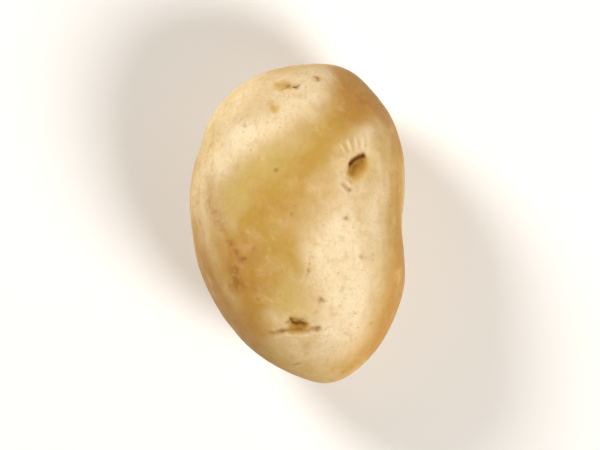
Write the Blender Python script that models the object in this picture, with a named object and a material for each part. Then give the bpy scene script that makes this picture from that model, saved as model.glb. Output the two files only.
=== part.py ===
"""One whole unpeeled table potato, lying on its broad side.

The tuber grew in one piece, so it is one closed body with no parts inside it.
X runs along its length, from the stem end (-X) to the blunter bud end (+X),
Y runs across its width and Z is up.  The origin is on the ground under the
middle of its outline.  Lengths are metres; the tables below are written in
millimetres and scaled by MM.
"""

import math

import bmesh
import bpy
import numpy as np

MM = 0.001

# ---- overall form ---------------------------------------------------------
HALF_LENGTH = 43.8 * MM     # half the length of the tuber along X
CUTS = 29                   # cuts along each edge of the starting cube
SQUARENESS = 0.035          # how far the cross-section is fuller than an ellipse
BUD_SKEW = 0.18             # slope of the blunt bud end, higher toward -Y
STEM_SKEW = 0.05            # slope of the narrower stem end
FLAT_DEPTH = 0.55 * MM      # how much the resting spot flattens the underside

# Cross-sections from the stem end (-1) to the bud end (+1), evenly spaced.
# Each row: half width, sideways shift, half height, lift (millimetres).
# The half width and height are those of the ellipsoid that fits the section,
# so they stay finite at the two ends, where they set how blunt the end is.
SECTIONS = (
    (21.8, -3.9, 25.0, -1.2),
    (27.1, -2.0, 25.2, -0.9),
    (28.4, -1.1, 25.2, -0.6),
    (29.2, -0.9, 25.2, -0.3),
    (29.3, -0.1, 25.1, 0.0),
    (29.2, 0.5, 25.1, 0.2),
    (30.1, 0.1, 25.4, 0.3),
    (31.35, -0.75, 26.2, 0.2),
    (33.15, -0.75, 27.8, 0.0),
    (36.6, 1.0, 31.0, -0.6),
    (42.5, 1.3, 38.0, -1.6),
)

# Broad swellings (+) and hollows (-).
# Each row: station along the length, angle round the section (0 is straight
# up, 90 is toward +Y), reach along the skin, height.
SWELLINGS = (
    (0.70, 30.0, 15.0, 0.7),      # lobe at the bud end
    (-0.28, -30.0, 17.0, 0.9),    # ridge along the -Y side of the top
    (0.42, -48.0, 11.0, 0.4),     # rise under the large eye
    (-0.10, -88.0, 8.0, -0.6),    # slight waist in the -Y side
    (-0.25, 48.0, 16.0, -0.5),    # gently flattened +Y flank
    (0.10, 150.0, 20.0, 0.7),
    (-0.45, 205.0, 15.0, -0.6),
    (0.55, 178.0, 14.0, 0.6),
    (0.75, 96.0, 8.5, -0.6),
)

# Long shallow valleys between the lobes.
# Each row: points (station, angle), half width, depth.
VALLEYS = (
    (((0.84, -60.0), (0.70, -42.0), (0.497, -11.0), (0.190, 9.0),
      (-0.152, 24.0), (-0.50, 44.0)), 7.5, 1.7),
    (((-0.60, -150.0), (-0.10, -165.0), (0.35, -140.0)), 9.0, 0.8),
)

# Eyes.  Each row: station, angle, roll, length, width, depth, brow height.
# The roll turns the eye in the skin: at 0 it lies across the tuber with its
# steep wall toward the bud end.
EYES = (
    (0.348, -32.9, 43.0, 8.0, 4.0, 1.60, 0.35),
    (-0.611, 9.6, 2.0, 5.6, 2.6, 1.00, 0.20),
    (0.882, -2.5, -4.0, 6.0, 1.9, 0.50, 0.12),
    (0.940, -122.0, 20.0, 5.2, 2.6, 0.85, 0.25),
    (0.60, 131.0, -12.0, 6.2, 2.8, 0.95, 0.30),
    (-0.18, 134.0, 8.0, 7.0, 2.8, 0.90, 0.30),
    (0.10, -127.0, 10.0, 6.6, 2.8, 1.00, 0.30),
    (-0.62, -126.0, -8.0, 6.0, 2.4, 0.75, 0.25),
    (0.55, 176.0, 6.0, 7.0, 3.0, 1.05, 0.30),
    (-0.42, 160.0, -10.0, 6.6, 2.6, 0.80, 0.25),
    (0.80, -142.0, 14.0, 5.6, 2.4, 0.75, 0.20),
    (-0.80, 128.0, 5.0, 4.6, 2.0, 0.50, 0.15),
)

# Dimple where the stolon was attached: station, angle, radius, depth.
STEM_SCAR = (-0.955, 172.0, 3.2, 0.9)

# Slow unevenness of the skin: number of waves, wave length, height.
RIPPLES = 9
RIPPLE_LENGTH = 25.0
RIPPLE_HEIGHT = 0.085

SKIN_COLOUR = (0.62, 0.40, 0.17, 1.0)


def smooth_table(rows, t):
    """Smooth curve through evenly spaced rows from t = -1 to t = +1."""
    table = np.array(rows, dtype=float)
    last = len(table) - 1
    place = np.clip((t + 1.0) * 0.5 * last, 0.0, last - 1e-9)
    k = place.astype(int)
    f = (place - k)[:, None]
    slope = np.gradient(table, axis=0)
    a, b = table[k], table[k + 1]
    ma, mb = slope[k], slope[k + 1]
    return ((2 * f**3 - 3 * f**2 + 1) * a + (f**3 - 2 * f**2 + f) * ma
            + (-2 * f**3 + 3 * f**2) * b + (f**3 - f**2) * mb)


def ease(x):
    """0 below 0, 1 above 1, smooth between."""
    x = np.clip(x, 0.0, 1.0)
    return x * x * (3.0 - 2.0 * x)


def body(d):
    """Millimetre positions of the plain form, and outward directions, for
    unit directions d."""
    t, across, up = d[:, 0], d[:, 1], d[:, 2]
    w, shift, h, lift = smooth_table(SECTIONS, t).T
    full = 1.0 + SQUARENESS * 4.0 * across**2 * up**2
    half = HALF_LENGTH / MM
    y = w * across * full
    z = h * up * full
    x = half * t
    x = x - BUD_SKEW * y * ease((t - 0.25) / 0.75)
    x = x + STEM_SKEW * y * ease((-t - 0.25) / 0.75)
    points = np.column_stack([x, y + shift, z + lift])
    out = np.column_stack([t / half, across / w, up / h])
    out /= np.linalg.norm(out, axis=1)[:, None]
    return points, out


def way(station, angle):
    """Unit direction of a station along the length and an angle round it."""
    ring = math.sqrt(max(0.0, 1.0 - station**2))
    a = math.radians(angle)
    return np.array([station, ring * math.sin(a), ring * math.cos(a)])


def place(station, angle):
    """Centre, outward, toward-the-bud and crosswise directions of a feature."""
    centre, out = body(way(station, angle)[None, :])
    out = out[0]
    bud = np.array([1.0, 0.0, 0.0]) - out[0] * out
    bud /= np.linalg.norm(bud)
    return centre[0], out, bud, np.cross(bud, out)


def swelling_relief(p):
    """Height of the broad swellings and hollows at positions p."""
    total = np.zeros(len(p))
    for station, angle, reach, height in SWELLINGS:
        centre = place(station, angle)[0]
        total += height * np.exp(-((p - centre)**2).sum(1) / reach**2)
    return total


def smooth_path(points, steps=12):
    """3-D points along a smooth line through (station, angle) rows."""
    rows = np.array(points, dtype=float)
    t = np.linspace(-1.0, 1.0, steps * (len(rows) - 1) + 1)
    return body(np.array([way(s, a) for s, a in smooth_table(rows, t)]))[0]


def valley_relief(p):
    """Depth of the long shallow valleys at positions p."""
    total = np.zeros(len(p))
    for points, half_width, depth in VALLEYS:
        path = smooth_path(points)
        step = np.linalg.norm(np.gradient(path, axis=0), axis=1)
        share = np.linspace(0.0, 1.0, len(path))
        ends = ease(share / 0.25) * ease((1.0 - share) / 0.25)
        amount = depth * step * ends / (half_width * math.sqrt(math.pi))
        for point, dip in zip(path, amount):
            total -= dip * np.exp(-((p - point)**2).sum(1) / half_width**2)
    return total


def ripple_relief(p):
    """Slow unevenness: a fixed sum of waves in spiralling directions."""
    total = np.zeros(len(p))
    for i in range(RIPPLES):
        up = 1.0 - 2.0 * (i + 0.5) / RIPPLES
        turn = 2.39996 * i
        ring = math.sqrt(1.0 - up * up)
        way = np.array([ring * math.cos(turn), ring * math.sin(turn), up])
        length = RIPPLE_LENGTH * (0.75 + 0.06 * i)
        total += np.sin(2.0 * math.pi * (p @ way) / length + 1.7 * i)
    return RIPPLE_HEIGHT * total


def eye_relief(p, out):
    """Pits of the eyes with one steep wall, and the low brow above it."""
    total = np.zeros(len(p))
    for station, angle, roll, length, width, depth, brow in EYES:
        centre, normal, bud, cross = place(station, angle)
        r = math.radians(roll)
        along = cross * math.cos(r) + bud * math.sin(r)
        wall = bud * math.cos(r) - cross * math.sin(r)
        q = p - centre
        a = (q @ along) / (0.5 * length)
        b = (q @ wall) / width + 0.12 * a**2
        near = ease((out @ normal - 0.2) / 0.5) * (np.abs(q @ normal) < 9.0)
        side = np.where(b > 0.0, 0.45, 0.80)
        pit = np.exp(-np.abs(a)**2.4) * np.exp(-(b / side)**2)
        ridge = np.exp(-(a / 1.3)**2) * np.exp(-((b - 0.95) / 0.55)**2)
        total += near * (brow * ridge - depth * pit)
    return total


def stem_relief(p):
    """Dimple and raised rim at the stem end."""
    station, angle, radius, depth = STEM_SCAR
    centre = place(station, angle)[0]
    r = np.sqrt(((p - centre)**2).sum(1)) / radius
    return -depth * np.exp(-r**2) + 0.25 * depth * np.exp(-((r - 1.7) / 0.6)**2)


def skin(d):
    """Finished millimetre positions for unit directions d, resting at z = 0."""
    p, out = body(d)
    relief = (swelling_relief(p) + valley_relief(p) + ripple_relief(p)
              + eye_relief(p, out) + stem_relief(p))
    p = p + out * relief[:, None]
    middle = 0.5 * (p.min(0) + p.max(0))
    floor = p[:, 2].min() + FLAT_DEPTH / MM
    p[:, 0] -= middle[0]
    p[:, 1] -= middle[1]
    p[:, 2] = np.maximum(p[:, 2] - floor, 0.0)
    return p


def main():
    for old in list(bpy.data.objects):
        bpy.data.objects.remove(old, do_unlink=True)

    group = bpy.data.collections.new("potato_tuber")
    bpy.context.scene.collection.children.link(group)

    # A cube cut into an even grid on every side, blown out to a ball and then
    # drawn out to the form of the tuber.
    bm = bmesh.new()
    bmesh.ops.create_cube(bm, size=2.0)
    bmesh.ops.subdivide_edges(bm, edges=bm.edges[:], cuts=CUTS,
                              use_grid_fill=True)
    grid = np.array([v.co[:] for v in bm.verts])
    ball = np.tan(grid * math.pi / 4.0)
    ball /= np.linalg.norm(ball, axis=1)[:, None]
    points = skin(ball) * MM
    for vert, point in zip(bm.verts, points):
        vert.co = point
    bmesh.ops.recalc_face_normals(bm, faces=bm.faces[:])
    for face in bm.faces:
        face.smooth = True

    mesh = bpy.data.meshes.new("potato")
    bm.to_mesh(mesh)
    bm.free()
    potato = bpy.data.objects.new("potato", mesh)
    group.objects.link(potato)

    skin_material = bpy.data.materials.new("potato_skin")
    skin_material.use_nodes = True
    shader = skin_material.node_tree.nodes["Principled BSDF"]
    shader.inputs["Base Color"].default_value = SKIN_COLOUR
    shader.inputs["Roughness"].default_value = 0.55
    shader.inputs["Metallic"].default_value = 0.0
    mesh.materials.append(skin_material)


main()
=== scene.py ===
"""Looks for one whole unpeeled table potato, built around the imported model.

Lengths are millimetres inside the shape functions and metres in the scene.
X runs along the tuber toward its blunter bud end, Y across it, Z up.
"""

import math

import bmesh
import bpy
import numpy as np
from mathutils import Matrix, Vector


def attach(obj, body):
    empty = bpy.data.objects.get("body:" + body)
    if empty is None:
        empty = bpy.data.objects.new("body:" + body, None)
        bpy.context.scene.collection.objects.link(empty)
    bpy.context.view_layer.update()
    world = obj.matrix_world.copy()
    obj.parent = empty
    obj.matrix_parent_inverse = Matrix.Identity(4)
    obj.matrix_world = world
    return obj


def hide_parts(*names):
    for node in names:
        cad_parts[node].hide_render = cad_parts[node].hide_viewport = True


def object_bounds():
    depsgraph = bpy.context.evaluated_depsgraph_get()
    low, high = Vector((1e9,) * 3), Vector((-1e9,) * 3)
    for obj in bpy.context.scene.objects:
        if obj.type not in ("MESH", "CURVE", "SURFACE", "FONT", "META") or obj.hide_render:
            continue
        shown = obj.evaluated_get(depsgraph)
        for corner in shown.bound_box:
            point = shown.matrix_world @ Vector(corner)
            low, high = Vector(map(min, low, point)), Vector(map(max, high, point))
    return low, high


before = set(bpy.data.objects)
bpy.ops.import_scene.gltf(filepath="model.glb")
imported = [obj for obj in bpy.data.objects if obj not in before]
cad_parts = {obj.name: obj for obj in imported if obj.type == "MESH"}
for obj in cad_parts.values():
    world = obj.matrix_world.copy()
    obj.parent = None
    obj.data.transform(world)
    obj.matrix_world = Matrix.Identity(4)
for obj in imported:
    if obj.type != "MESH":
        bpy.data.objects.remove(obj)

CAD_BOX = [[float(v) for v in corner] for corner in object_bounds()]

MM = 0.001

# ---------------------------------------------------------------------------
# Form of the tuber: the same rule as the solid model, evaluated more finely.
# ---------------------------------------------------------------------------
HALF_LENGTH = 43.8
CAD_CUTS = 29
FINE_CUTS = 249
SQUARENESS = 0.035
BUD_SKEW = 0.18
STEM_SKEW = 0.05
FLAT_DEPTH = 0.55

# half width, sideways shift, half height, lift; stem end to bud end
SECTIONS = (
    (21.8, -3.9, 25.0, -1.2),
    (27.1, -2.0, 25.2, -0.9),
    (28.4, -1.1, 25.2, -0.6),
    (29.2, -0.9, 25.2, -0.3),
    (29.3, -0.1, 25.1, 0.0),
    (29.2, 0.5, 25.1, 0.2),
    (30.1, 0.1, 25.4, 0.3),
    (31.35, -0.75, 26.2, 0.2),
    (33.15, -0.75, 27.8, 0.0),
    (36.6, 1.0, 31.0, -0.6),
    (42.5, 1.3, 38.0, -1.6),
)

# station, angle, reach, height
SWELLINGS = (
    (0.70, 30.0, 15.0, 0.7),
    (-0.28, -30.0, 17.0, 0.9),
    (0.42, -48.0, 11.0, 0.4),
    (-0.10, -88.0, 8.0, -0.6),
    (-0.25, 48.0, 16.0, -0.5),
    (0.10, 150.0, 20.0, 0.7),
    (-0.45, 205.0, 15.0, -0.6),
    (0.55, 178.0, 14.0, 0.6),
    (0.75, 96.0, 8.5, -0.6),
)

# Long shallow valleys: points (station, angle), half width, depth.
VALLEYS = (
    (((0.84, -60.0), (0.70, -42.0), (0.497, -11.0), (0.190, 9.0),
      (-0.152, 24.0), (-0.50, 44.0)), 7.5, 1.7),
    (((-0.60, -150.0), (-0.10, -165.0), (0.35, -140.0)), 9.0, 0.8),
)

# Eyes: station, angle, roll, length, width, depth, brow height, number of
# buds, how brown the pit is, how dark the crack under the brow is painted
# (painted shadow of the brow).
EYES = (
    (0.348, -32.9, 43.0, 8.0, 4.0, 1.60, 0.35, 1, 1.00, 0.00),
    (-0.611, 9.6, 2.0, 5.6, 2.6, 1.00, 0.20, 1, 1.00, 0.00),
    (0.882, -2.5, -4.0, 6.0, 1.9, 0.50, 0.12, 1, 0.15, 0.00),
    (0.940, -122.0, 20.0, 5.2, 2.6, 0.85, 0.25, 2, 0.70, 0.80),
    (0.60, 131.0, -12.0, 6.2, 2.8, 0.95, 0.30, 3, 0.80, 0.90),
    (-0.18, 134.0, 8.0, 7.0, 2.8, 0.90, 0.30, 2, 0.75, 0.80),
    (0.10, -127.0, 10.0, 6.6, 2.8, 1.00, 0.30, 3, 0.85, 0.90),
    (-0.62, -126.0, -8.0, 6.0, 2.4, 0.75, 0.25, 1, 0.70, 0.70),
    (0.55, 176.0, 6.0, 7.0, 3.0, 1.05, 0.30, 3, 0.85, 0.90),
    (-0.42, 160.0, -10.0, 6.6, 2.6, 0.80, 0.25, 2, 0.75, 0.80),
    (0.80, -142.0, 14.0, 5.6, 2.4, 0.75, 0.20, 2, 0.70, 0.70),
    (-0.80, 128.0, 5.0, 4.6, 2.0, 0.50, 0.15, 1, 0.60, 0.60),
)

STEM_SCAR = (-0.955, 172.0, 3.2, 0.9)

RIPPLES = 9
RIPPLE_LENGTH = 25.0
RIPPLE_HEIGHT = 0.085

# Cracks and creases: points (station, angle), half width, depth, darkness.
# The darkness paints the groove darker, as shade; the first row is the dark
# line along the top of the first eye, painted near black as the shadow under its rim.
CREASES = (
    (((0.346, -28.8), (0.370, -30.0), (0.388, -32.8), (0.396, -34.6),
      (0.404, -36.8), (0.396, -39.2)), 0.42, 0.60, 1.00),
    (((0.497, -26.8), (0.455, -28.0), (0.415, -28.6)), 0.55, 0.16, 0.10),
    (((0.512, -32.3), (0.465, -32.0), (0.425, -31.6)), 0.55, 0.18, 0.10),
    (((0.515, -37.4), (0.470, -36.4), (0.430, -35.2)), 0.50, 0.15, 0.08),
    (((0.498, -42.5), (0.460, -41.0), (0.430, -39.4)), 0.50, 0.12, 0.06),
    (((0.256, -23.6), (0.216, -26.3), (0.184, -28.8)), 0.55, 0.16, 0.28),
    (((0.262, -28.2), (0.238, -30.4)), 0.45, 0.10, 0.16),
    (((0.225, -33.0), (0.190, -33.5)), 0.40, 0.06, 0.08),
    (((-0.668, 35.0), (-0.658, 27.0), (-0.648, 20.0), (-0.655, 12.2),
      (-0.655, 5.2), (-0.643, 0.0), (-0.638, -7.5)), 0.65, 0.38, 0.36),
    (((-0.170, -4.1), (-0.282, -1.6), (-0.369, 2.9)), 0.35, 0.06, 0.10),
    (((0.609, 41.7), (0.540, 40.0), (0.470, 38.9)), 0.55, 0.05, 0.05),
    (((-0.870, 37.9), (-0.855, 22.0)), 0.45, 0.10, 0.15),
    (((-0.700, -30.0), (-0.673, -22.0)), 0.40, 0.07, 0.10),
)

# Marks: station, angle, radius, height, how dark, how rusty, how ochre.
SPOTS = (
    (0.854, -9.0, 0.80, -0.30, 1.00, 0.6, 0.2),
    (0.868, -2.6, 1.10, -0.08, 0.30, 0.5, 0.6),
    (0.890, 5.4, 1.30, -0.08, 0.00, 0.1, 1.2),
    (0.862, 1.2, 0.90, -0.08, 0.10, 0.2, 0.9),
    (0.872, -29.0, 0.95, -0.15, 0.50, 0.3, 0.8),
    (0.750, 9.8, 1.20, -0.08, 0.08, 0.1, 1.4),
    (-0.596, 12.6, 1.35, -0.25, 1.20, 0.6, 0.0),
    (-0.604, 7.8, 1.20, -0.08, 0.60, 0.5, 0.0),
    (-0.578, 10.0, 1.40, 0.00, 0.15, 0.3, 0.7),
    (-0.652, 33.0, 1.00, -0.04, 0.08, 0.7, 0.4),
    (-0.645, 23.0, 1.20, -0.03, 0.08, 0.4, 0.8),
    (-0.658, 41.0, 0.90, -0.02, 0.00, 0.5, 0.2),
    (-0.637, -3.2, 0.95, -0.10, 0.25, 0.95, 0.2),
    (-0.655, 14.0, 0.90, -0.05, 0.00, 0.10, 1.2),
    # the next two spots darken the line along the top of the first eye: painted shadow
    # under its rim
    (0.400, -37.8, 0.75, -0.15, 0.95, 0.5, 0.0),
    (0.370, -30.4, 0.90, -0.15, 0.95, 0.5, 0.0),
    (0.362, 12.3, 0.60, -0.10, 0.40, 0.50, 0.1),
    (0.071, 3.3, 0.70, -0.06, 0.22, 0.35, 0.2),
    (0.026, -25.8, 0.70, 0.06, 0.30, 0.45, 0.5),
    (-0.212, -31.9, 0.70, -0.08, 0.20, 0.40, 0.2),
    (-0.282, -1.6, 0.55, -0.08, 0.30, 0.45, 0.1),
    (-0.464, -7.0, 0.85, -0.10, 0.35, 0.70, 0.3),
    (-0.437, 32.3, 0.55, -0.06, 0.25, 0.40, 0.5),
    (-0.624, -45.4, 0.70, -0.06, 0.15, 0.30, 0.5),
    (0.201, -28.2, 0.50, -0.12, 0.40, 0.45, 0.0),
    (0.119, 46.7, 1.60, -0.03, 0.00, 0.45, 0.0),
    (0.035, 43.3, 1.50, -0.03, 0.00, 0.45, 0.0),
    (-0.080, 40.2, 0.95, -0.05, 0.12, 0.90, 0.0),
    (-0.141, 37.8, 1.15, -0.05, 0.20, 1.05, 0.0),
    (-0.181, 34.5, 1.25, -0.06, 0.32, 1.10, 0.4),
    (-0.244, 40.5, 1.50, -0.03, 0.12, 0.95, 0.3),
    (-0.318, 43.2, 1.95, -0.05, 0.34, 1.30, 0.6),
    (-0.356, 44.7, 1.50, -0.03, 0.12, 1.00, 0.3),
    (-0.310, 36.9, 1.50, -0.03, 0.00, 0.75, 0.3),
    (-0.113, 27.0, 0.60, 0.04, 0.00, 0.90, 0.0),
    (-0.443, 32.9, 0.80, -0.04, 0.05, 0.30, 0.8),
    (-0.368, 49.8, 1.20, -0.03, 0.00, 0.40, 0.0),
    (-0.417, 62.7, 1.10, -0.03, 0.00, 0.40, 0.2),
    (0.096, 20.1, 1.60, -0.02, 0.00, 0.25, 0.0),
)

# Scuffed, slightly corky streaks, and one broad stroke of painted shadow: points, half
# width, strength.
SCUFF_AND_SHADE_STREAKS = (
    (((0.330, 54.0), (0.220, 52.5), (0.109, 49.5), (0.000, 43.5)), 1.5, 0.65),
    # painted shadow on the upper right corner of the bud end, coloured as russet
    (((0.84, -60.0), (0.75, -54.0), (0.64, -51.0)), 5.0, 1.05),
    (((0.000, 42.3), (-0.080, 40.0), (-0.190, 36.0)), 1.5, 0.55),
    (((-0.160, 40.0), (-0.260, 42.5), (-0.370, 44.0)), 2.3, 0.80),
    (((-0.300, 43.0), (-0.340, 36.0), (-0.330, 30.0)), 1.9, 0.65),
    (((-0.088, 66.1), (-0.212, 64.7), (-0.350, 62.0)), 1.0, 0.35),
    (((0.525, -62.6), (0.311, -59.3), (0.041, -54.4)), 0.8, 0.30),
    (((0.400, -68.0), (0.150, -66.0), (-0.100, -63.0)), 0.9, 0.35),
    (((-0.15, 128.0), (-0.40, 140.0)), 3.0, 0.6),
    (((0.30, -150.0), (0.05, -160.0)), 2.6, 0.6),
    (((-0.70, -150.0), (-0.80, -170.0)), 2.4, 0.6),
)

# Soft strokes of skin tone: points, half width, tone (0 cream, 1 golden tan)
# and strength. The cream strokes on the upper left lobe and the stripe down
# the right are painted light, the tan band from the upper right of the bud end
# down across the top is painted shadow, and the tan strokes along the edges are
# painted shade; the rest is skin tone.
LIGHT_AND_SHADE_TONES = (
    (((0.80, 50.0), (0.87, 20.0), (0.90, -10.0)), 9.0, 0.22, 0.85),
    (((0.40, 52.0), (0.58, 42.0), (0.58, 24.0), (0.74, 2.0), (0.79, -19.0),
      (0.89, -40.0)), 6.5, 0.10, 0.95),
    (((0.44, 46.0), (0.57, 34.0)), 5.0, -0.05, 0.85),
    (((0.32, 62.0), (0.05, 68.0)), 5.0, 0.35, 0.8),
    (((0.40, 17.0), (0.30, 30.0), (0.15, 38.0)), 5.0, 0.86, 0.8),
    (((-0.10, 37.0), (-0.21, 38.0), (-0.44, 36.0), (-0.60, 46.0)), 6.5, 1.05, 0.95),
    (((0.00, 61.0), (-0.08, 59.0), (-0.16, 58.0)), 2.6, 0.45, 0.7),
    (((0.30, 53.0), (0.20, 52.0), (0.09, 49.0)), 2.6, 0.75, 0.4),
    (((-0.02, -60.0), (-0.33, -57.0), (-0.60, -60.0)), 4.5, 1.0, 0.8),
    (((-0.20, 66.0), (-0.50, 60.0), (-0.74, 50.0)), 4.5, 1.0, 0.8),
    (((0.52, -45.0), (0.30, -38.0), (0.12, -30.0), (-0.07, -20.0),
      (-0.24, -15.0), (-0.40, -19.0), (-0.56, -20.0), (-0.72, -16.0)),
     6.5, 0.05, 0.95),
    (((-0.20, -24.0), (-0.45, -25.0), (-0.66, -22.0)), 6.5, -0.30, 0.8),
    (((-0.10, 14.0), (-0.28, 16.0), (-0.42, 14.0)), 5.0, 0.90, 0.9),
    (((0.08, 5.0), (-0.06, 6.0), (-0.18, 8.0)), 4.5, 0.95, 0.8),
    (((0.54, -60.0), (0.34, -54.0), (0.09, -50.0), (-0.16, -46.0)),
     3.5, 0.50, 0.6),
    (((0.46, -50.0), (0.30, -43.0), (0.14, -42.0)), 3.5, 0.62, 0.9),
    (((0.42, -72.0), (0.17, -72.0), (-0.08, -69.0), (-0.33, -66.0),
      (-0.60, -66.0)), 6.0, 1.00, 0.88),
    (((-0.76, 25.0), (-0.84, 5.0), (-0.80, -20.0)), 6.0, 0.40, 0.8),
    (((-0.86, 45.0), (-0.95, 10.0), (-0.90, -35.0)), 4.5, 0.80, 0.8),
    (((0.71, -50.0), (0.61, -28.0), (0.46, -12.0), (0.35, 1.0), (0.15, 12.0),
      (0.02, 18.0), (-0.12, 28.0), (-0.25, 36.0)), 5.0, 1.05, 0.92),
    (((0.80, -66.0), (0.74, -48.0)), 6.5, 1.10, 0.9),
    (((-0.55, 27.0), (-0.59, 22.0)), 2.6, 0.35, 0.7),
    (((-0.32, 76.0), (-0.56, 72.0), (-0.80, 62.0)), 5.0, 1.05, 0.8),
    (((0.02, 74.0), (-0.21, 74.0), (-0.44, 83.0), (-0.63, 82.0), (-0.78, 76.0),
      (-0.89, 70.0)), 3.5, 1.10, 0.7),
    (((0.62, 60.0), (0.40, 72.0), (0.12, 78.0), (-0.12, 78.0)), 6.0, 0.35, 0.6),
    (((0.70, 72.0), (0.85, 67.0), (0.94, 68.0), (0.968, 46.0)), 4.5, 0.15, 0.75),
    (((-0.41, -70.0), (-0.60, -69.0), (-0.75, -58.0), (-0.87, -48.0)),
     3.5, 1.10, 0.8),
    (((0.25, 22.0), (0.16, 21.0), (0.08, 27.0)), 3.5, 1.15, 0.7),
    (((-0.12, 27.0), (-0.25, 22.0), (-0.34, 18.0)), 4.0, 1.05, 0.7),
    (((-0.44, 37.0), (-0.45, 28.0)), 3.0, 1.05, 0.6),
    (((-0.43, 11.0), (-0.53, 7.0)), 3.0, 0.65, 0.6),
    (((0.18, -29.0), (0.10, -34.0)), 3.0, 0.50, 0.6),
    (((0.25, -44.0), (0.12, -43.0)), 3.0, 0.75, 0.7),
    (((-0.06, 7.0), (-0.16, 6.0), (-0.25, 5.0)), 2.6, 1.00, 0.7),
    (((0.30, -80.0), (0.05, -80.0), (-0.15, -78.0)), 3.2, 0.55, 0.7),
    (((0.17, -46.0), (0.10, -43.0), (-0.08, -41.0)), 3.5, 0.05, 0.7),
)

# Soft strokes of painted shade and tint, browner (+) or more olive (-). The
# browner strokes on the upper right corner of the bud end and along the edges
# are painted shade; the olive ones go with the painted shadow band across the top.
SHADE_AND_TINT_STROKES = (
    (((-0.14, 37.0), (-0.23, 37.0), (-0.44, 36.0), (-0.62, 46.0)), 6.0, 0.78),
    (((-0.40, 66.0), (-0.70, 62.0)), 6.0, 0.60),
    (((0.84, -68.0), (0.74, -54.0), (0.66, -40.0)), 6.5, 1.30),
    (((0.45, 15.0), (0.32, 24.0), (0.22, 34.0)), 5.5, -0.90),
    (((-0.36, 12.0), (-0.50, 16.0)), 4.0, -0.60),
    (((-0.10, -63.0), (-0.35, -60.0), (-0.62, -62.0)), 5.5, 0.50),
    (((-0.15, 67.0), (-0.30, 64.0)), 3.5, 0.50),
    (((0.62, 62.0), (0.35, 76.0), (0.05, 80.0), (-0.18, 80.0)), 7.0, -0.40),
    (((-0.20, -74.0), (-0.50, -74.0), (-0.76, -64.0)), 5.0, 0.45),
    (((-0.12, 27.0), (-0.25, 22.0), (-0.34, 20.0)), 4.0, 0.35),
    (((0.25, 22.0), (0.16, 21.0), (0.08, 27.0)), 3.5, 0.30),
    (((-0.43, 11.0), (-0.53, 7.0)), 3.5, -0.40),
    (((0.68, 74.0), (0.88, 68.0), (0.965, 42.0)), 5.0, -0.35),
    (((0.86, -70.0), (0.72, -66.0), (0.58, -68.0), (0.46, -76.0)), 5.0, 1.00),
    (((0.10, -68.0), (-0.15, -65.0)), 3.5, 0.35),
    (((0.32, 54.0), (0.22, 53.0), (0.10, 50.0)), 2.8, 0.25),
    (((0.30, -80.0), (0.05, -80.0), (-0.15, -78.0)), 3.5, -0.35),
    (((-0.30, -72.0), (-0.60, -70.0), (-0.75, -60.0), (-0.89, -50.0)),
     4.5, 0.60),
    (((0.02, 76.0), (-0.21, 77.0), (-0.44, 84.0), (-0.63, 84.0), (-0.78, 78.0),
      (-0.90, 70.0)), 4.5, 0.80),
)


def smooth_table(rows, t):
    """Smooth curve through evenly spaced rows from t = -1 to t = +1."""
    table = np.array(rows, dtype=float)
    last = len(table) - 1
    place = np.clip((t + 1.0) * 0.5 * last, 0.0, last - 1e-9)
    k = place.astype(int)
    f = (place - k)[:, None]
    slope = np.gradient(table, axis=0)
    a, b = table[k], table[k + 1]
    ma, mb = slope[k], slope[k + 1]
    return ((2 * f**3 - 3 * f**2 + 1) * a + (f**3 - 2 * f**2 + f) * ma
            + (-2 * f**3 + 3 * f**2) * b + (f**3 - f**2) * mb)


def ease(x):
    x = np.clip(x, 0.0, 1.0)
    return x * x * (3.0 - 2.0 * x)


def body(d):
    """Positions of the plain form, and outward directions, for unit
    directions d."""
    t, across, up = d[:, 0], d[:, 1], d[:, 2]
    w, shift, h, lift = smooth_table(SECTIONS, t).T
    full = 1.0 + SQUARENESS * 4.0 * across**2 * up**2
    y = w * across * full
    z = h * up * full
    x = HALF_LENGTH * t
    x = x - BUD_SKEW * y * ease((t - 0.25) / 0.75)
    x = x + STEM_SKEW * y * ease((-t - 0.25) / 0.75)
    points = np.column_stack([x, y + shift, z + lift])
    out = np.column_stack([t / HALF_LENGTH, across / w, up / h])
    out /= np.linalg.norm(out, axis=1)[:, None]
    return points, out


def way(station, angle):
    """Unit direction of a station along the length and an angle round it."""
    ring = math.sqrt(max(0.0, 1.0 - station**2))
    a = math.radians(angle)
    return np.array([station, ring * math.sin(a), ring * math.cos(a)])


def place(station, angle):
    """Centre, outward, toward-the-bud and crosswise directions of a feature."""
    centre, out = body(way(station, angle)[None, :])
    out = out[0]
    bud = np.array([1.0, 0.0, 0.0]) - out[0] * out
    bud /= np.linalg.norm(bud)
    return centre[0], out, bud, np.cross(bud, out)


def swelling_relief(p):
    total = np.zeros(len(p))
    for station, angle, reach, height in SWELLINGS:
        centre = place(station, angle)[0]
        total += height * np.exp(-((p - centre)**2).sum(1) / reach**2)
    return total


def smooth_path(points, steps=12):
    """3-D points along a smooth line through (station, angle) rows."""
    rows = np.array(points, dtype=float)
    if len(rows) == 2:
        rows = np.array([rows[0], rows.mean(0), rows[1]])
    t = np.linspace(-1.0, 1.0, steps * (len(rows) - 1) + 1)
    return body(np.array([way(s, a) for s, a in smooth_table(rows, t)]))[0]


def valley_relief(p):
    total = np.zeros(len(p))
    for points, half_width, depth in VALLEYS:
        path = smooth_path(points)
        step = np.linalg.norm(np.gradient(path, axis=0), axis=1)
        share = np.linspace(0.0, 1.0, len(path))
        ends = ease(share / 0.25) * ease((1.0 - share) / 0.25)
        amount = depth * step * ends / (half_width * math.sqrt(math.pi))
        for point, dip in zip(path, amount):
            total -= dip * np.exp(-((p - point)**2).sum(1) / half_width**2)
    return total


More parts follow.
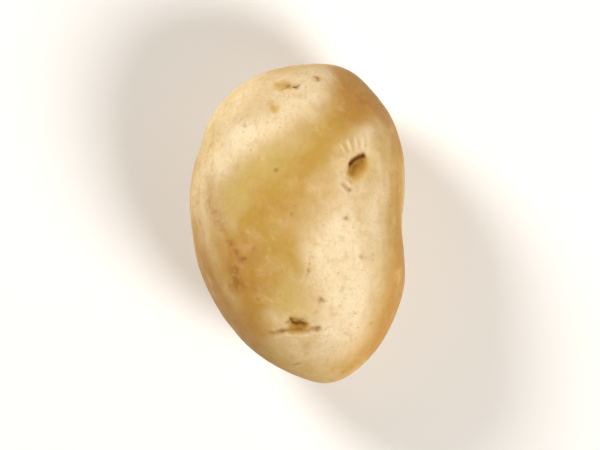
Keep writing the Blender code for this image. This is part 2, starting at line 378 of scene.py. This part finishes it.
def ripple_relief(p):
    total = np.zeros(len(p))
    for i in range(RIPPLES):
        up = 1.0 - 2.0 * (i + 0.5) / RIPPLES
        turn = 2.39996 * i
        ring = math.sqrt(1.0 - up * up)
        heading = np.array([ring * math.cos(turn), ring * math.sin(turn), up])
        length = RIPPLE_LENGTH * (0.75 + 0.06 * i)
        total += np.sin(2.0 * math.pi * (p @ heading) / length + 1.7 * i)
    return RIPPLE_HEIGHT * total


def pit_shape(a, b, length, width):
    """Bowl with one steep wall; a runs along the eye, b toward the wall."""
    u = a / (0.5 * length)
    v = b / width + 0.12 * u**2
    side = np.where(v > 0.0, 0.45, 0.80)
    pit = np.exp(-np.abs(u)**2.4) * np.exp(-(v / side)**2)
    ridge = np.exp(-(u / 1.3)**2) * np.exp(-((v - 0.95) / 0.55)**2)
    return u, v, pit, ridge


def eye_frame(eye, p, out):
    station, angle, roll = eye[:3]
    centre, normal, bud, cross = place(station, angle)
    r = math.radians(roll)
    along = cross * math.cos(r) + bud * math.sin(r)
    wall = bud * math.cos(r) - cross * math.sin(r)
    q = p - centre
    near = ease((out @ normal - 0.2) / 0.5) * (np.abs(q @ normal) < 9.0)
    return q @ along, q @ wall, near


def plain_eyes(p, out):
    total = np.zeros(len(p))
    for eye in EYES:
        length, width, depth, brow = eye[3:7]
        a, b, near = eye_frame(eye, p, out)
        u, v, pit, ridge = pit_shape(a, b, length, width)
        total += near * (brow * ridge - depth * pit)
    return total


def stem_relief(p):
    station, angle, radius, depth = STEM_SCAR
    centre = place(station, angle)[0]
    r = np.sqrt(((p - centre)**2).sum(1)) / radius
    return -depth * np.exp(-r**2) + 0.25 * depth * np.exp(-((r - 1.7) / 0.6)**2)


def resting_frame(d):
    """Shift that puts the solid model's outline over the origin, and the
    height at which its underside is cut flat."""
    p, out = body(d)
    relief = (swelling_relief(p) + valley_relief(p) + ripple_relief(p)
              + plain_eyes(p, out) + stem_relief(p))
    p = p + out * relief[:, None]
    middle = 0.5 * (p.min(0) + p.max(0))
    return middle[0], middle[1], p[:, 2].min() + FLAT_DEPTH


# ---------------------------------------------------------------------------
# Fine skin relief
# ---------------------------------------------------------------------------
def hashed(i, j, k, seed):
    """Repeatable value in -1..1 for whole-number lattice corners."""
    h = (i * 374761393 + j * 668265263 + k * 1440670441 + seed * 974634777)
    h &= 0xFFFFFFFF
    h = ((h ^ (h >> 13)) * 1274126177) & 0xFFFFFFFF
    h = ((h ^ (h >> 15)) * 2246822519) & 0xFFFFFFFF
    h = h ^ (h >> 16)
    return h.astype(np.float64) / 2147483647.5 - 1.0


def noise(p, size, seed):
    """Smooth gradient noise, about -1..1, with lumps about `size` mm."""
    q = p / size + 17.31 * (seed + 1)
    base = np.floor(q).astype(np.int64)
    f = q - base
    s = f * f * f * (f * (f * 6.0 - 15.0) + 10.0)
    total = np.zeros(len(p))
    for dx in (0, 1):
        for dy in (0, 1):
            for dz in (0, 1):
                i, j, k = base[:, 0] + dx, base[:, 1] + dy, base[:, 2] + dz
                slope = (hashed(i, j, k, seed) * (f[:, 0] - dx)
                         + hashed(i, j, k, seed + 31) * (f[:, 1] - dy)
                         + hashed(i, j, k, seed + 67) * (f[:, 2] - dz))
                weight = ((s[:, 0] if dx else 1.0 - s[:, 0])
                          * (s[:, 1] if dy else 1.0 - s[:, 1])
                          * (s[:, 2] if dz else 1.0 - s[:, 2]))
                total += weight * slope
    return 1.6 * total


def layered(p, size, octaves, seed, keep=0.5):
    total, gain = np.zeros(len(p)), 1.0
    for o in range(octaves):
        total += gain * noise(p, size / 2**o, seed + 101 * o)
        gain *= keep
    return total


def distance_to_path(p, path, reach):
    """Distance to a path and the share of its length, where it is near."""
    low, high = path.min(0) - reach, path.max(0) + reach
    index = np.nonzero(((p > low) & (p < high)).all(1))[0]
    best = np.full(len(index), 1e9)
    share = np.zeros(len(index))
    q = p[index]
    count = len(path) - 1
    for n in range(count):
        a, b = path[n], path[n + 1]
        ab = b - a
        s = np.clip(((q - a) @ ab) / (ab @ ab), 0.0, 1.0)
        dist = np.linalg.norm(q - a - s[:, None] * ab, axis=1)
        closer = dist < best
        best[closer] = dist[closer]
        share[closer] = (n + s[closer]) / count
    return index, best, share


def fine_skin(d):
    """Finished positions and the masks that colour the skin."""
    p, out = body(d)
    count = len(p)
    masks = {name: np.zeros(count)
             for name in ("brown", "dark_marks_and_shade", "russet_and_shade", "pale", "ochre")}
    relief = (swelling_relief(p) + valley_relief(p) + ripple_relief(p)
              + stem_relief(p))

    wobble_a = 0.30 * noise(p, 2.2, 5) + 0.12 * noise(p, 0.9, 6)
    wobble_b = 0.30 * noise(p, 2.2, 7) + 0.12 * noise(p, 0.9, 8)
    grain = layered(p, 1.2, 2, 9)

    # ---- eyes
    for number, eye in enumerate(EYES):
        length, width, depth, brow, buds, brownness, crack = eye[3:10]
        a, b, near = eye_frame(eye, p, out)
        a = a + wobble_a
        b = b + wobble_b
        u, v, pit, ridge = pit_shape(a, b, length, width)
        relief += near * (brow * ridge - depth * pit)

        # ragged crack at the top of the steep wall; its dark colour, set below, is painted
        # shadow of the brow
        foot = b + 0.12 * width * u**2 - 0.36 * width + 0.35 * wobble_a
        thick = 0.30 + 0.16 * grain
        slit = (np.exp(-(foot / np.maximum(thick, 0.12))**2)
                * np.exp(-np.abs(u / 0.72)**4))
        relief -= near * 0.32 * slit * (0.2 + 0.8 * crack)

        # small dormant buds in the pit
        for k in range(buds):
            spread = (k - 0.5 * (buds - 1)) * 1.35 + 0.2
            lump = np.exp(-((a - spread)**2
                            + (b + 0.20 * width + 0.25 * (k % 2))**2) / 0.50**2)
            relief += near * 0.20 * lump

        # puckers that run out from the pit
        r = np.hypot(u, 0.8 * v)
        ring = np.exp(-((r - 1.40) / 0.38)**2)
        turn = np.arctan2(v, u)
        relief += near * ring * 0.050 * np.sin(8.0 * turn + 3.0 * grain + number)

        edge = pit + 0.06 * grain
        fade = (1.0 - 0.35 * ease(-u)) * (1.0 - 0.40 * ease(-v / 0.7))
        masks["ochre"] += near * brownness * ease((edge - 0.08) / 0.40)
        masks["brown"] += near * brownness * fade * ease((edge - 0.22) / 0.50)
        # painted shadow: the crack is painted dark under the brow, and the pit darker
        # towards its steep wall
        masks["dark_marks_and_shade"] += near * crack * slit * (0.80 + 0.3 * grain)
        masks["dark_marks_and_shade"] += (near * brownness * pit**2 * 0.42
                          * ease((v + 0.30) / 0.65) * (0.9 + 0.5 * grain))
        masks["pale"] += (near * 0.32 * np.exp(-((r - 1.40) / 0.40)**2)
                          * np.clip(0.50 + 1.6 * wobble_b, 0.0, 1.4))

    # ---- creases, their grooves painted darker as shade
    for points, half_width, depth, darkness in CREASES:
        path = smooth_path(points)
        i, dist, share = distance_to_path(p, path, 4.0 * half_width + 1.0)
        dist = np.abs(dist + 0.35 * wobble_a[i])
        taper = np.clip(np.sin(math.pi * np.clip(share, 0.0, 1.0)), 0, 1)**0.6
        groove = np.exp(-(dist / half_width)**2) * taper
        lip = np.exp(-((dist - 1.9 * half_width) / (0.8 * half_width))**2) * taper
        relief[i] += 0.35 * depth * lip - depth * groove
        # groove painted darker as shade
        masks["dark_marks_and_shade"][i] += darkness * groove * (0.9 + 0.4 * grain[i])
        masks["pale"][i] += 3.2 * min(depth, 0.2) * lip
        masks["brown"][i] += 0.85 * darkness * np.exp(
            -(dist / (1.9 * half_width))**2) * taper

    # ---- marked spots
    sway = np.column_stack([noise(p, 1.5, 51), noise(p, 1.5, 52),
                            noise(p, 1.5, 53)])
    for station, angle, radius, height, darkness, rusty, ochre in SPOTS:
        centre = place(station, angle)[0]
        i = np.nonzero((np.abs(p - centre) < 4.0 * radius).all(1))[0]
        r = np.linalg.norm(p[i] - centre + 0.8 * radius * sway[i], axis=1)
        r = r / radius
        dot = np.exp(-r**2.2)
        relief[i] += height * dot
        masks["dark_marks_and_shade"][i] += darkness * np.exp(-(r / 0.65)**2)
        masks["brown"][i] += 0.9 * darkness * dot
        flecks = np.clip(0.85 + 0.5 * grain[i], 0.3, 1.2)
        masks["russet_and_shade"][i] += rusty * dot * flecks
        masks["ochre"][i] += ochre * np.exp(-(r / 1.25)**2)

    # ---- breathing pores scattered over the whole skin
    total = 240
    for n in range(total):
        k = np.array([n])
        r1, r2, r3, r4 = (float(hashed(k, k * 3 + 1, k * 7 + 2, s)[0])
                          for s in (11, 12, 13, 14))
        x = 1.0 - 2.0 * (n + 0.5) / total + 0.03 * r1
        x = max(-0.98, min(0.98, x))
        turn = 2.39996 * n + 0.35 * r2
        ring = math.sqrt(1.0 - x * x)
        centre = body(np.array([[x, ring * math.sin(turn),
                                 ring * math.cos(turn)]]))[0][0]
        upper = math.cos(turn) > 0.55 and abs(x) < 0.9
        bolder = 1.0 if upper else 1.35
        radius = (0.38 + 0.20 * r3) * bolder
        i = np.nonzero((np.abs(p - centre) < 5.0 * radius).all(1))[0]
        r = np.linalg.norm(p[i] - centre + 0.9 * radius * sway[i],
                           axis=1) / radius
        dot = np.exp(-r**2.2)
        sign = 1.0 if r4 > -0.2 else -1.0
        relief[i] += 0.04 * sign * dot
        masks["russet_and_shade"][i] += (0.20 + 0.18 * r4) * bolder**3 * dot

    # ---- scuffed, corky streaks, and the painted shadow on the bud-end corner
    for points, half_width, strength in SCUFF_AND_SHADE_STREAKS:
        path = smooth_path(points)
        i, dist, share = distance_to_path(p, path, 3.0 * half_width)
        taper = np.clip(np.sin(math.pi * np.clip(share * 0.92 + 0.04, 0, 1)),
                        0, 1)**0.5
        broad = np.exp(-(dist / half_width)**2) * taper
        patchy = np.clip(0.40 + 1.1 * layered(p[i], 2.4, 3, 40), 0.0, 1.4)
        masks["russet_and_shade"][i] += strength * broad * patchy
        relief[i] += 0.03 * strength * broad * layered(p[i], 0.9, 2, 44)

    # ---- skin tone: golden tan or cream, browner or more olive, with painted light, shadow and shade laid over the real tone
    side = np.degrees(np.arctan2(np.abs(d[:, 1]), np.abs(d[:, 2])))
    # the sides and the ends, painted more tan and more umber as shade
    shaded_rim = ease((side - 52.0) / 30.0)
    shaded_rim = np.maximum(shaded_rim, ease((np.abs(d[:, 0]) - 0.90) / 0.09))
    tone = 0.70 + 0.40 * noise(p, 30.0, 60) + 0.25 * noise(p, 12.0, 61)
    tone += 0.25 * shaded_rim
    drift = 1.0 + 0.30 * noise(p, 9.0, 62) + 0.15 * noise(p, 4.0, 63)
    # cream strokes paint light on the lit lobes, tan strokes paint the shadow band and the
    # shade along the edges
    for points, half_width, value, strength in LIGHT_AND_SHADE_TONES:
        path = smooth_path(points)
        i, dist, share = distance_to_path(p, path, 3.0 * half_width)
        amount = strength * np.exp(-(dist * drift[i] / half_width)**2)
        tone[i] += amount * (value - tone[i])
    masks["tan"] = tone
    masks["flank"] = 0.10 + 0.30 * ease((side - 38.0) / 30.0)
    # umber on the sides and ends, and the umber strokes, are painted shade
    shade_and_tint = 0.30 * noise(p, 26.0, 64) + 0.40 * shaded_rim
    for points, half_width, strength in SHADE_AND_TINT_STROKES:
        path = smooth_path(points)
        i, dist, share = distance_to_path(p, path, 3.0 * half_width)
        shade_and_tint[i] += strength * np.exp(-(dist * drift[i] / half_width)**2)
    masks["umber_and_painted_shade"] = np.clip(shade_and_tint, 0.0, 1.0)
    masks["olive_tint_and_shade"] = np.clip(-shade_and_tint, 0.0, 1.0)

    # ---- stain round the stem scar
    station, angle, radius, depth = STEM_SCAR
    centre = place(station, angle)[0]
    r = np.linalg.norm(p - centre, axis=1) / radius
    masks["brown"] += 0.9 * np.exp(-(r / 0.75)**2)
    masks["russet_and_shade"] += 0.5 * np.exp(-(r / 1.6)**2)

    # ---- skin texture: soft lumps, fine wrinkling, faint netting
    lumps = 0.085 * noise(p, 11.0, 21) + 0.050 * noise(p, 5.5, 22)
    fine = 0.014 * layered(p, 1.9, 2, 23)
    net = 1.0 - np.abs(noise(p + 0.6 * grain[:, None], 2.4, 25))
    relief += lumps + fine + 0.010 * np.clip(net - 0.72, 0.0, 1.0) / 0.28

    p = p + out * relief[:, None]
    for name in masks:
        masks[name] = np.clip(masks[name], 0.0, 1.0)
    return p, masks


def ball_grid(cuts, name):
    """A cube cut into an even grid, as a mesh, with its grid coordinates and
    the unit directions that blow it out to a ball."""
    bm = bmesh.new()
    bmesh.ops.create_cube(bm, size=2.0)
    bmesh.ops.subdivide_edges(bm, edges=bm.edges[:], cuts=cuts,
                              use_grid_fill=True)
    bmesh.ops.recalc_face_normals(bm, faces=bm.faces[:])
    mesh = bpy.data.meshes.new(name)
    bm.to_mesh(mesh)
    bm.free()
    grid = np.empty(3 * len(mesh.vertices))
    mesh.vertices.foreach_get("co", grid)
    grid = grid.reshape(-1, 3)
    ball = np.tan(grid * math.pi / 4.0)
    ball /= np.linalg.norm(ball, axis=1)[:, None]
    return mesh, grid, ball


def unwrap(mesh, grid):
    """UV map with the six sides of the starting cube laid out 3 by 2."""
    loops = np.empty(len(mesh.loops), dtype=np.int64)
    mesh.loops.foreach_get("vertex_index", loops)
    faces = loops.reshape(-1, 4)
    corners = grid[faces]
    middle = corners.mean(1)
    axis = np.abs(middle).argmax(1)
    sign = np.sign(middle[np.arange(len(middle)), axis])
    first, second = (axis + 1) % 3, (axis + 2) % 3
    a = np.take_along_axis(corners, first[:, None, None], 2)[:, :, 0]
    b = np.take_along_axis(corners, second[:, None, None], 2)[:, :, 0]
    a = a * sign[:, None]
    pad = 0.97
    u = (axis[:, None] + 0.5 + 0.5 * pad * a) / 3.0
    v = (np.where(sign > 0, 0, 1)[:, None] + 0.5 + 0.5 * pad * b) / 2.0
    layer = mesh.uv_layers.new(name="OFBake")
    layer.data.foreach_set("uv", np.stack([u, v], axis=2).ravel())


# ---------------------------------------------------------------------------
# Tuber
# ---------------------------------------------------------------------------
coarse, _, coarse_ball = ball_grid(CAD_CUTS, "coarse")
shift_x, shift_y, floor_z = resting_frame(coarse_ball)
bpy.data.meshes.remove(coarse)

tuber_mesh, grid, ball = ball_grid(FINE_CUTS, "tuber")
unwrap(tuber_mesh, grid)
points, masks = fine_skin(ball)
points[:, 0] -= shift_x
points[:, 1] -= shift_y
points[:, 2] = np.maximum(points[:, 2] - floor_z, 0.0)
low, high = np.array(CAD_BOX[0]) / MM, np.array(CAD_BOX[1]) / MM
for axis in range(3):
    # the fine relief is drawn in by a hair where it would pass the solid
    over = points[:, axis].max() / high[axis]
    if axis < 2:
        over = max(over, points[:, axis].min() / low[axis])
    points[:, axis] /= max(over, 1.0)
tuber_mesh.vertices.foreach_set("co", (points * MM).ravel())
for name, values in masks.items():
    layer = tuber_mesh.attributes.new(name, "FLOAT", "POINT")
    layer.data.foreach_set("value", values.astype(np.float32))
tuber_mesh.shade_smooth()
tuber_mesh.update()
tuber = bpy.data.objects.new("tuber", tuber_mesh)
bpy.context.scene.collection.objects.link(tuber)


# ---------------------------------------------------------------------------
# Skin material
# ---------------------------------------------------------------------------
class Tree:
    """Short ways to add and join shader nodes."""

    def __init__(self, tree):
        self.tree = tree
        self.tree.nodes.clear()

    def add(self, kind, **settings):
        node = self.tree.nodes.new(kind)
        for key, value in settings.items():
            setattr(node, key, value)
        return node

    def join(self, source, target):
        self.tree.links.new(source, target)

    def noise(self, where, scale, detail=2.0, rough=0.5, distortion=0.0):
        node = self.add("ShaderNodeTexNoise")
        node.inputs["Scale"].default_value = scale
        node.inputs["Detail"].default_value = detail
        node.inputs["Roughness"].default_value = rough
        node.inputs["Distortion"].default_value = distortion
        self.join(where, node.inputs["Vector"])
        return node.outputs["Fac"]

    def remap(self, value, a, b, c=0.0, d=1.0, smooth=True):
        node = self.add("ShaderNodeMapRange")
        node.interpolation_type = "SMOOTHSTEP" if smooth else "LINEAR"
        node.inputs["From Min"].default_value = a
        node.inputs["From Max"].default_value = b
        node.inputs["To Min"].default_value = c
        node.inputs["To Max"].default_value = d
        self.join(value, node.inputs["Value"])
        return node.outputs["Result"]

    def maths(self, operation, a, b):
        node = self.add("ShaderNodeMath", operation=operation)
        for socket, value in zip(node.inputs, (a, b)):
            if isinstance(value, (int, float)):
                socket.default_value = value
            else:
                self.join(value, socket)
        return node.outputs[0]

    def mix(self, amount, a, b, blend="MIX"):
        node = self.add("ShaderNodeMix", data_type="RGBA", blend_type=blend)
        factor, first, second = node.inputs[0], node.inputs[6], node.inputs[7]
        for socket, value in ((factor, amount), (first, a), (second, b)):
            if isinstance(value, (int, float)):
                socket.default_value = value
            elif isinstance(value, tuple):
                socket.default_value = (*value, 1.0)
            else:
                self.join(value, socket)
        return node.outputs[2]

    def mask(self, name):
        node = self.add("ShaderNodeAttribute", attribute_name=name)
        return node.outputs["Fac"]


def skin_material():
    material = bpy.data.materials.new("potato_skin_fine")
    material.use_nodes = True
    t = Tree(material.node_tree)
    output = t.add("ShaderNodeOutputMaterial")
    shader = t.add("ShaderNodeBsdfPrincipled")
    t.join(shader.outputs[0], output.inputs["Surface"])
    where = t.add("ShaderNodeTexCoord").outputs["Object"]

    # cream to golden tan, browner and more olive in places: partly skin tone,
    # partly painted light (cream on the lit lobes) and painted shade (tan and umber
    # on the band across the top, the bud-end corner and the edges)
    drift = t.remap(t.noise(where, 210.0, 4.0, 0.6, 0.4), 0.25, 0.75,
                    -0.12, 0.12, smooth=False)
    tone = t.maths("ADD", t.mask("tan"), drift)
    colour = t.mix(t.remap(tone, 0.0, 1.0, smooth=False),
                   (0.856, 0.722, 0.482), (0.505, 0.310, 0.058))
    # umber: painted shade on the edges and the bud-end corner; olive: the tint of the
    # painted shadow band
    colour = t.mix(t.maths("MULTIPLY", t.mask("umber_and_painted_shade"), 0.90), colour,
                   (0.445, 0.228, 0.042))
    colour = t.mix(t.maths("MULTIPLY", t.mask("olive_tint_and_shade"), 0.70), colour,
                   (0.570, 0.430, 0.120))

    # warm, slightly pink clouds
    pink = t.noise(where, 70.0, 3.0, 0.55, 0.8)
    colour = t.mix(t.remap(pink, 0.52, 0.74, 0.0, 0.30), colour,
                   (0.740, 0.440, 0.190))

    # fine lengthwise streaks, stronger on the flanks
    drawn = t.add("ShaderNodeVectorMath", operation="MULTIPLY")
    t.join(where, drawn.inputs[0])
    drawn.inputs[1].default_value = (0.11, 1.0, 1.0)
    streak = t.noise(drawn.outputs[0], 520.0, 4.0, 0.60, 0.0)
    flank = t.mask("flank")
    colour = t.mix(t.maths("MULTIPLY", t.remap(streak, 0.46, 0.72), flank),
                   colour, (0.560, 0.260, 0.060))
    colour = t.mix(t.maths("MULTIPLY", t.remap(streak, 0.48, 0.24, 0.0, 0.38), flank),
                   colour, (0.850, 0.650, 0.340))

    # small brown flecks, mostly on the flanks
    fleck = t.remap(t.noise(where, 560.0, 4.0, 0.70, 0.6), 0.53, 0.66)
    colour = t.mix(t.maths("MULTIPLY", t.maths("MULTIPLY", fleck, flank), 1.15),
                   colour, (0.420, 0.200, 0.050))

    # paler, drier patches
    dry = t.noise(where, 120.0, 4.0, 0.6, 0.3)
    colour = t.mix(t.remap(dry, 0.52, 0.76, 0.0, 0.32), colour,
                   (0.860, 0.680, 0.390))

    # mottling a few millimetres across, then fine grain
    mottle = t.noise(where, 330.0, 4.0, 0.62, 0.5)
    colour = t.mix(t.remap(mottle, 0.48, 0.70, 0.0, 0.34), colour,
                   (0.540, 0.320, 0.100))
    grain = t.noise(where, 1500.0, 3.0, 0.6)
    colour = t.mix(t.remap(grain, 0.52, 0.72, 0.0, 0.30), colour,
                   (0.560, 0.340, 0.120))

    # faint net of thicker cork
    cells = t.add("ShaderNodeTexVoronoi", feature="DISTANCE_TO_EDGE")
    cells.inputs["Scale"].default_value = 620.0
    bend = t.add("ShaderNodeTexNoise")
    bend.inputs["Scale"].default_value = 480.0
    bend.inputs["Detail"].default_value = 3.0
    t.join(where, bend.inputs["Vector"])
    warp = t.add("ShaderNodeVectorMath", operation="MULTIPLY_ADD")
    t.join(bend.outputs["Color"], warp.inputs[0])
    warp.inputs[1].default_value = (0.0022, 0.0022, 0.0022)
    t.join(where, warp.inputs[2])
    t.join(warp.outputs[0], cells.inputs["Vector"])
    net_line = t.remap(cells.outputs["Distance"], 0.0, 0.16, 1.0, 0.0)
    net_zone = t.remap(t.noise(where, 90.0, 2.0, 0.5), 0.48, 0.70)
    net = t.maths("MULTIPLY", net_line, net_zone)
    colour = t.mix(t.maths("MULTIPLY", net, 0.22), colour,
                   (0.520, 0.300, 0.110))

    # pin-point specks
    specks = t.add("ShaderNodeTexVoronoi", feature="F1")
    specks.inputs["Scale"].default_value = 420.0
    t.join(where, specks.inputs["Vector"])
    speck = t.remap(specks.outputs["Distance"], 0.05, 0.16, 1.0, 0.0)
    speck_zone = t.remap(t.noise(where, 260.0, 1.0), 0.50, 0.62)
    colour = t.mix(t.maths("MULTIPLY",
                           t.maths("MULTIPLY", speck, speck_zone), 0.60),
                   colour, (0.380, 0.200, 0.075))

    # features laid on the skin
    patchy = t.remap(t.noise(where, 900.0, 3.0, 0.6), 0.30, 0.70, 0.55, 1.15)
    colour = t.mix(t.maths("MULTIPLY", t.mask("pale"), 0.75), colour,
                   (0.890, 0.720, 0.440))
    colour = t.mix(t.maths("MULTIPLY", t.mask("ochre"), 0.80), colour,
                   (0.600, 0.380, 0.080))
    # russet, with the painted shadow on the bud-end corner
    colour = t.mix(t.maths("MULTIPLY",
                           t.maths("MULTIPLY", t.mask("russet_and_shade"), patchy), 0.80),
                   colour, (0.400, 0.165, 0.045))
    steady = t.remap(t.noise(where, 700.0, 3.0, 0.6), 0.30, 0.70, 0.85, 1.08)
    brown = t.maths("MULTIPLY", t.mask("brown"), steady)
    brown_soft = t.remap(brown, 0.0, 1.0, 0.0, 0.96, smooth=False)
    colour = t.mix(brown_soft, colour, (0.370, 0.165, 0.012))
    # dark marks, with painted shade in the eye pits, cracks and creases
    dark_marks_and_shade = t.maths("MULTIPLY", t.mask("dark_marks_and_shade"), 0.92)
    colour = t.mix(dark_marks_and_shade, colour, (0.105, 0.030, 0.005))
    t.join(colour, shader.inputs["Base Color"])

    # sheen of dry skin, dull in the pits
    rough = t.remap(t.noise(where, 240.0, 3.0, 0.6), 0.3, 0.7, 0.50, 0.64)
    rough = t.maths("ADD", rough, t.maths("MULTIPLY", t.mask("brown"), 0.25))
    rough = t.maths("ADD", rough, t.maths("MULTIPLY", net, 0.10))
    t.join(rough, shader.inputs["Roughness"])
    shader.inputs["IOR"].default_value = 1.42
    shader.inputs["Specular IOR Level"].default_value = 0.30
    shader.inputs["Metallic"].default_value = 0.0

    # thin translucent flesh under the skin
    shader.inputs["Subsurface Weight"].default_value = 0.12
    shader.inputs["Subsurface Radius"].default_value = (1.0, 0.55, 0.22)
    shader.inputs["Subsurface Scale"].default_value = 0.0022

    # skin finer than the mesh: pores, grain and the raised net
    pores = t.noise(where, 1900.0, 4.0, 0.62)
    weave = t.noise(where, 5200.0, 2.0, 0.55)
    height = t.maths("ADD", t.maths("MULTIPLY", pores, 0.65),
                     t.maths("MULTIPLY", weave, 0.25))
    height = t.maths("ADD", height, t.maths("MULTIPLY", net, 0.45))
    bump = t.add("ShaderNodeBump")
    bump.inputs["Strength"].default_value = 0.55
    bump.inputs["Distance"].default_value = 0.00008
    t.join(height, bump.inputs["Height"])
    t.join(bump.outputs["Normal"], shader.inputs["Normal"])
    return material


tuber_mesh.materials.append(skin_material())

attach(tuber, "root")
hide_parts("potato")


# ---------------------------------------------------------------------------
# Floor, light, camera
# ---------------------------------------------------------------------------
floor_mesh = bpy.data.meshes.new("floor")
bm = bmesh.new()
bmesh.ops.create_grid(bm, x_segments=2, y_segments=2, size=60.0)
bm.to_mesh(floor_mesh)
bm.free()
floor = bpy.data.objects.new("floor", floor_mesh)
bpy.context.scene.collection.objects.link(floor)
floor_material = bpy.data.materials.new("floor_white")
floor_material.use_nodes = True
floor_shader = floor_material.node_tree.nodes["Principled BSDF"]
floor_shader.inputs["Base Color"].default_value = (0.93, 0.93, 0.93, 1.0)
floor_shader.inputs["Roughness"].default_value = 0.85
floor_shader.inputs["Specular IOR Level"].default_value = 0.1
# the lamps only reach the middle, so the floor far from them gives a little
# light of its own and stays pale to the horizon
far = floor_material.node_tree.nodes.new("ShaderNodeMapRange")
far.interpolation_type = "SMOOTHSTEP"
far.inputs["From Min"].default_value = 0.35
far.inputs["From Max"].default_value = 1.6
far.inputs["To Max"].default_value = 0.55
place_on_floor = floor_material.node_tree.nodes.new("ShaderNodeTexCoord")
from_middle = floor_material.node_tree.nodes.new("ShaderNodeVectorMath")
from_middle.operation = "LENGTH"
floor_links = floor_material.node_tree.links
floor_links.new(place_on_floor.outputs["Object"], from_middle.inputs[0])
floor_links.new(from_middle.outputs["Value"], far.inputs["Value"])
floor_links.new(far.outputs["Result"], floor_shader.inputs["Emission Strength"])
floor_shader.inputs["Emission Color"].default_value = (0.92, 0.91, 0.89, 1.0)
floor_mesh.materials.append(floor_material)

world = bpy.data.worlds.new("studio")
bpy.context.scene.world = world
world.use_nodes = True
w = Tree(world.node_tree)
sky_out = w.add("ShaderNodeOutputWorld")
sky = w.add("ShaderNodeBackground")
w.join(sky.outputs[0], sky_out.inputs["Surface"])
heading = w.add("ShaderNodeTexCoord").outputs["Generated"]
split = w.add("ShaderNodeSeparateXYZ")
w.join(heading, split.inputs[0])
sky_level = w.remap(split.outputs["Z"], 0.0, 0.10)
w.join(w.mix(sky_level, (0.92, 0.90, 0.87), (0.26, 0.20, 0.13)),
       sky.inputs["Color"])
sky.inputs["Strength"].default_value = 0.75


def aim(obj, target):
    direction = np.array(target) - np.array(obj.location)
    direction = direction / np.linalg.norm(direction)
    from mathutils import Vector
    obj.rotation_euler = Vector(direction).to_track_quat("-Z", "Y").to_euler()


def soft_light(name, location, size, power, colour):
    lamp = bpy.data.lights.new(name, "AREA")
    lamp.shape = "DISK"
    lamp.size = size
    lamp.energy = power
    lamp.color = colour
    obj = bpy.data.objects.new(name, lamp)
    bpy.context.scene.collection.objects.link(obj)
    obj.location = location
    aim(obj, (0.0, 0.0, 0.025))
    obj.visible_camera = False
    return obj


soft_light("key", (0.66, 0.60, 0.62), 0.40, 9.6, (1.0, 0.99, 0.975))
soft_light("side", (-0.55, -0.62, 0.75), 0.50, 10.5, (1.0, 0.985, 0.96))

lens = bpy.data.cameras.new("camera")
lens.lens = 300.0
lens.sensor_width = 36.0
lens.clip_start = 0.01
lens.clip_end = 500.0
camera = bpy.data.objects.new("camera", lens)
bpy.context.scene.collection.objects.link(camera)
camera.location = (0.0, 0.0, 1.40)
camera.rotation_euler = (0.0, 0.0, math.radians(-94.43))
bpy.context.scene.camera = camera

bpy.context.scene.view_settings.view_transform = "Standard"
bpy.context.scene.view_settings.look = "None"
bpy.context.scene.view_settings.exposure = 0.0
